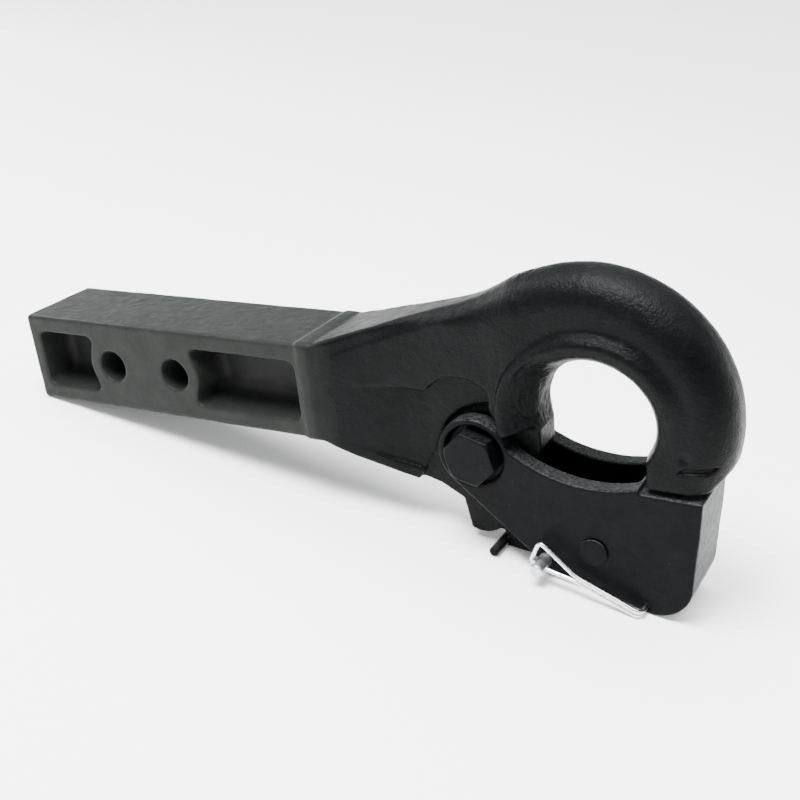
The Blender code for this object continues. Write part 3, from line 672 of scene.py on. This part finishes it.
class Shader:
    """A Principled material and short ways to add nodes to it.

    place and facing are a point and its normal in the design frame, place in metres.
    """

    def __init__(self, name, metallic=0.0, specular=0.5):
        self.mat = bpy.data.materials.new(name)
        self.mat.use_nodes = True
        self.tree = self.mat.node_tree
        self.main = self.tree.nodes["Principled BSDF"]
        self.main.inputs["Metallic"].default_value = metallic
        self.main.inputs["Specular IOR Level"].default_value = specular
        coordinates = self.tree.nodes.new("ShaderNodeTexCoord").outputs
        to_design = REST.inverted()
        self.place = self.node("ShaderNodeMapping", {
            "Vector": coordinates["Object"], "Rotation": to_design.to_euler(),
            "Location": to_design.translation}).outputs[0]
        turned = self.node("ShaderNodeMapping", {
            "Vector": coordinates["Normal"], "Rotation": to_design.to_euler()},
            vector_type="VECTOR").outputs[0]
        self.facing = self.node("ShaderNodeSeparateXYZ", {"Vector": turned}).outputs

    def feed(self, socket, value):
        """Links a socket, or sets a number or a colour."""
        if isinstance(value, bpy.types.NodeSocket):
            self.tree.links.new(value, socket)
        elif socket.type == "RGBA":
            socket.default_value = (*value, 1.0)
        else:
            socket.default_value = value

    def node(self, kind, inputs=(), **settings):
        made = self.tree.nodes.new(kind)
        for key, value in settings.items():
            setattr(made, key, value)
        for key, value in dict(inputs).items():
            self.feed(made.inputs[key], value)
        return made

    def noise(self, size, detail=4.0, rough=0.55, stretch=(1, 1, 1)):
        """Noise with features of a size in millimetres."""
        scaled = self.node("ShaderNodeMapping", {"Vector": self.place, "Scale": stretch})
        return self.node("ShaderNodeTexNoise", {
            "Vector": scaled.outputs[0], "Scale": 1000.0 / size, "Detail": detail,
            "Roughness": rough}).outputs["Fac"]

    def cells(self, size):
        return self.node("ShaderNodeTexVoronoi", {
            "Vector": self.place, "Scale": 1000.0 / size}).outputs["Distance"]

    def ramp(self, value, low, high, out_low=0.0, out_high=1.0):
        return self.node("ShaderNodeMapRange", {
            "Value": value, "From Min": low, "From Max": high, "To Min": out_low,
            "To Max": out_high}).outputs[0]

    def math(self, operation, a, b=0.0):
        return self.node("ShaderNodeMath", {0: a, 1: b}, operation=operation).outputs[0]

    def times(self, *factors):
        product = factors[0]
        for factor in factors[1:]:
            product = self.math("MULTIPLY", product, factor)
        return product

    def mix(self, factor, a, b):
        """Colour from a to b. The mix node's colour sockets are its seventh and eighth."""
        return self.node("ShaderNodeMix", {0: factor, 6: a, 7: b}, data_type="RGBA").outputs[2]

    def bump(self, height, distance, strength=1.0):
        return self.node("ShaderNodeBump", {
            "Height": height, "Distance": distance * MM, "Strength": strength}).outputs[0]

    def done(self, colour, roughness, normal=None):
        self.feed(self.main.inputs["Base Color"], colour)
        self.feed(self.main.inputs["Roughness"], roughness)
        if normal is not None:
            self.feed(self.main.inputs["Normal"], normal)
        return self.mat


def body_coat():
    """Black paint on the hook, thin on the shank, rubbed on the wall of the eye, with painted light
    on the wall's far half.
    """
    s = Shader("coat_body", specular=0.050)
    x, _, z = s.node("ShaderNodeSeparateXYZ", {"Vector": s.place}).outputs
    on_shank = s.ramp(x, 0.205, 0.186)
    dx, dz = s.math("SUBTRACT", x, EYE[0] * MM), s.math("SUBTRACT", z, EYE[1] * MM)
    radius = s.math("SQRT", s.math("ADD", s.times(dx, dx), s.times(dz, dz)))
    wall = s.times(s.ramp(radius, 0.0310, 0.0285), s.ramp(x, 0.332, 0.322))
    patches = s.ramp(s.noise(14, 5.0, 0.6), 0.35, 0.7)
    colour = s.mix(on_shank, s.mix(patches, *PAINT), s.mix(patches, *BARE_SHANK))
    scuff = s.noise(4.0, 8.0, 0.75, (0.4, 1.0, 1.0))
    colour = s.mix(s.times(s.ramp(scuff, 0.60, 0.76), 0.25), colour, SCUFFED)
    # worn metal on the eye's wall, laid on ten times more where the wall faces away (+y) than where
    # it faces the near side: that difference is painted light, a lit far half and a shaded near
    # half
    wear_and_lit_side = s.times(wall, s.ramp(s.noise(2.2, 4.0, 0.6), 0.42, 0.62),
                     s.ramp(s.facing[1], -0.35, 0.3, 0.08, 0.8))
    colour = s.mix(wear_and_lit_side, colour, WALL_WEAR_AND_LIGHT)
    rough = s.ramp(s.noise(5.0, 5.0), 0.3, 0.7, 0.29, 0.40)
    rough = s.math("ADD", rough, s.times(on_shank, 0.05))
    rough = s.math("ADD", rough, s.times(wall, 0.12))
    grain = s.math("ADD", s.noise(1.2, 5.0, 0.6), s.times(s.noise(3.6, 3.0), 0.5))
    wrinkles = s.times(wall, 1.5, s.noise(1.5, 3.0, 0.6, (1, 1, 0.4)))
    height = s.times(grain, s.ramp(on_shank, 0.0, 1.0, 0.50, 0.20))
    return s.done(colour, rough, s.bump(s.math("ADD", height, wrinkles), 0.8, 0.9))


def latch_coat(name="coat_latch", tone=1.0, top_light=0.5):
    """Black paint, a few chips, and painted light on the front face and on the faces that point up.
    """
    s = Shader(name, specular=0.046)
    dark, light = (tuple(c * tone for c in paint) for paint in LATCH_PAINT)
    colour = s.mix(s.ramp(s.noise(11, 5.0, 0.6), 0.35, 0.7), dark, light)
    x = s.node("ShaderNodeSeparateXYZ", {"Vector": s.place}).outputs[0]
    # painted light: the latch's front face, facing +x, is made lighter and speckled
    lit_front = s.times(s.ramp(s.facing[0], 0.80, 0.95), s.ramp(x, 0.372, 0.378))
    speck = s.ramp(s.noise(1.5, 5.0, 0.7), 0.38, 0.62, 0.25, 1.0)
    colour = s.mix(s.times(lit_front, speck), colour, LIT_FRONT_FACE)
    colour = s.mix(s.times(s.ramp(s.cells(7.0), 0.035, 0.02), 0.5), colour, CHIPPED)
    # painted light: faces that point up are made lighter, speckled, in the share given by the last
    # argument
    lit_top = s.times(s.ramp(s.facing[2], 0.30, 0.75), s.ramp(s.noise(1.1, 4.0), 0.35, 0.6))
    colour = s.mix(s.times(lit_top, top_light), colour, LIT_TOP_FACES)
    rough = s.ramp(s.noise(4.0, 5.0), 0.3, 0.7, 0.34, 0.46)
    grain = s.math("ADD", s.noise(1.1, 6.0, 0.65), s.times(s.noise(3.5, 3.0), 0.7))
    return s.done(colour, rough, s.bump(grain, 0.16, 0.8))


def zinc(name, tint, low, high):
    """Plated metal; low and high are the ends of its roughness."""
    s = Shader(name, metallic=1.0)
    dull = tuple(c * 0.72 for c in tint)
    colour = s.mix(s.ramp(s.noise(3.0, 5.0, 0.6), 0.35, 0.72), tint, dull)
    rough = s.ramp(s.noise(1.4, 5.0), 0.3, 0.7, low, high)
    return s.done(colour, rough, s.bump(s.noise(0.6, 4.0), 0.03, 0.6))


def nylon():
    s = Shader("nylon_ring")
    colour = s.mix(s.ramp(s.noise(2.0), 0.3, 0.7), *NYLON_TINT)
    rough = s.ramp(s.noise(0.8), 0.3, 0.7, 0.42, 0.55)
    return s.done(colour, rough, s.bump(s.noise(0.5), 0.03))


def floor_paint():
    s = Shader("floor_paper", specular=0.2)
    s.main.inputs["Emission Color"].default_value = (1.0, 1.0, 1.0, 1.0)
    s.main.inputs["Emission Strength"].default_value = 0.12
    return s.done(s.mix(s.ramp(s.noise(400, 2.0), 0.3, 0.7), *FLOOR_TINT), 0.7)


# ---------------------------------------------------------------- assembly

def keep_clear(co):
    """A quarter near the pivot's running faces, 1 elsewhere, so that noise keeps clearances."""
    d = np.hypot(co[:, 0] - PIVOT[0], co[:, 2] - PIVOT[1])
    return np.clip((d - 20.0) / 8.0, 0.25, 1.0)


def wall_amount(co):
    """Wrinkles in millimetres, on the side of the eye's wall that is next to the neck."""
    d = np.hypot(co[:, 0] - EYE[0], co[:, 2] - EYE[1])
    return 0.30 * smooth(-d, -39.0, -37.5) * smooth(-co[:, 0], -322.0, -314.0) * smooth(
        co[:, 2], -9.0, -6.0)


BLACK, LATCH = body_coat(), latch_coat()
# the bolt's coat: a little lighter paint, with less painted light on its upward faces
BOLT = latch_coat("coat_bolt", 1.1, 0.12)
ZINC = zinc("zinc_plate", ZINC_TINT, 0.34, 0.48)
WIRE, NYLON = zinc("zinc_wire", BRIGHT_WIRE, 0.2, 0.32), nylon()
SPRING = zinc("spring_wire", SPRING_TINT, 0.25, 0.4)
FINISH = {"pivot_bolt": (BOLT, "black_bolt"), "pivot_washer": (ZINC, "zinc"),
          "pivot_nut": (ZINC, "zinc"), "nut_insert": (NYLON, "nylon"),
          "safety_pin": (ZINC, "zinc")}
WIRE_ANGLE = 40                 # sharpest bend between faces that is still shaded smooth

grid = Grid((-6.0, -29.0, -75.0), (401.0, 29.0, 71.5), 0.8)
mesh = skin(hook_field(grid), grid, "hook_body_visible")
roughen(mesh, ((0.18, 18.0, 3.1), (0.09, 6.0, 7.7), (0.07, 2.2, 1.3)), keep_clear, wall_amount)
piece("hook_body_visible", mesh, "hook", "hook_body", BLACK)

grid = Grid((254.0, -21.0, -96.0), (389.0, 21.0, -3.0), 0.6)
mesh = skin(latch_field(grid), grid, "latch_jaw_visible")
roughen(mesh, ((0.14, 14.0, 5.1), (0.06, 4.0, 2.7), (0.03, 1.8, 9.3)), keep_clear)
piece("latch_jaw_visible", mesh, "latch", "latch_jaw", LATCH)

for node, field, low, high, step, body in BUILT:
    name = node + "_visible"
    grid = Grid(low, high, step)
    mat, slot = FINISH.get(node, (LATCH, "cast_black"))
    piece(name, skin(field(grid), grid, name, 1), body, node, mat)

mesh = tube("safety_pin_bail_visible", bail_points(), WIRE_R)
piece("safety_pin_bail_visible", mesh, "bail", "safety_pin_bail", WIRE, WIRE_ANGLE)
mesh = tube("dog_spring_visible", spring_points(), 0.6)
piece("dog_spring_visible", mesh, "latch", "dog_spring", SPRING, WIRE_ANGLE)


# ---------------------------------------------------------------- studio

FLOOR_HALF = 12.0               # metres

# name, place, point it faces, side of its square in metres, power in watts
SOFTBOXES = (
    ("softbox_key", (-0.16, -0.34, 1.18), (0.12, 0.0, 0.06), 0.52, 62.0),
    ("softbox_left", (-1.25, 0.28, 0.42), (0.10, 0.0, 0.08), 0.5, 13.5),
    ("softbox_right", (1.1, 0.5, 0.55), (0.15, 0.0, 0.06), 0.7, 4.2))


def lay_floor():
    bm = bmesh.new()
    bmesh.ops.create_grid(bm, x_segments=2, y_segments=2, size=FLOOR_HALF)
    mesh = bpy.data.meshes.new("floor")
    bm.to_mesh(mesh)
    bm.free()
    mesh.materials.append(floor_paint())
    floor = bpy.data.objects.new("floor", mesh)
    bpy.context.scene.collection.objects.link(floor)


def hang(light, place, aim):
    """Puts a light in the scene, shining along aim."""
    lamp = bpy.data.objects.new(light.name, light)
    lamp.location = place
    lamp.rotation_euler = aim.to_track_quat("-Z", "Y").to_euler()
    bpy.context.scene.collection.objects.link(lamp)


def light_studio():
    world = bpy.data.worlds.new("studio")
    world.use_nodes = True
    sky = world.node_tree.nodes["Background"].inputs
    sky["Color"].default_value = (0.97, 0.985, 1.0, 1.0)
    sky["Strength"].default_value = 0.95
    bpy.context.scene.world = world

    for name, place, target, size, power in SOFTBOXES:
        light = bpy.data.lights.new(name, "AREA")
        light.shape = "SQUARE"
        light.size = size
        light.energy = power
        hang(light, place, Vector(target) - Vector(place))
    ceiling = bpy.data.lights.new("ceiling", "SUN")
    ceiling.angle = math.radians(70)
    ceiling.energy = 6.3
    hang(ceiling, (0, 0, 0), Vector((0.10, -0.16, -1.0)))


def camera():
    """Looks down on the near side from beyond the horn; its place and axes are design frame."""
    right, down, ahead = (Vector(v) for v in ((0.86131, 0.49684, -0.10626),
                                              (0.11506, -0.39446, -0.91168),
                                              (-0.49487, 0.77302, -0.39692)))
    data = bpy.data.cameras.new("camera")
    data.lens, data.sensor_width = 52.2, 36.0
    data.clip_start, data.clip_end = 0.02, 60.0
    cam = bpy.data.objects.new("camera", data)
    axes = Matrix((right, -down, -ahead)).transposed().to_4x4()
    place = Matrix.Translation(Vector((514.438, -449.053, 220.763)) * MM)
    cam.matrix_world = REST @ place @ axes
    bpy.context.scene.collection.objects.link(cam)
    bpy.context.scene.camera = cam


lay_floor()
light_studio()
camera()
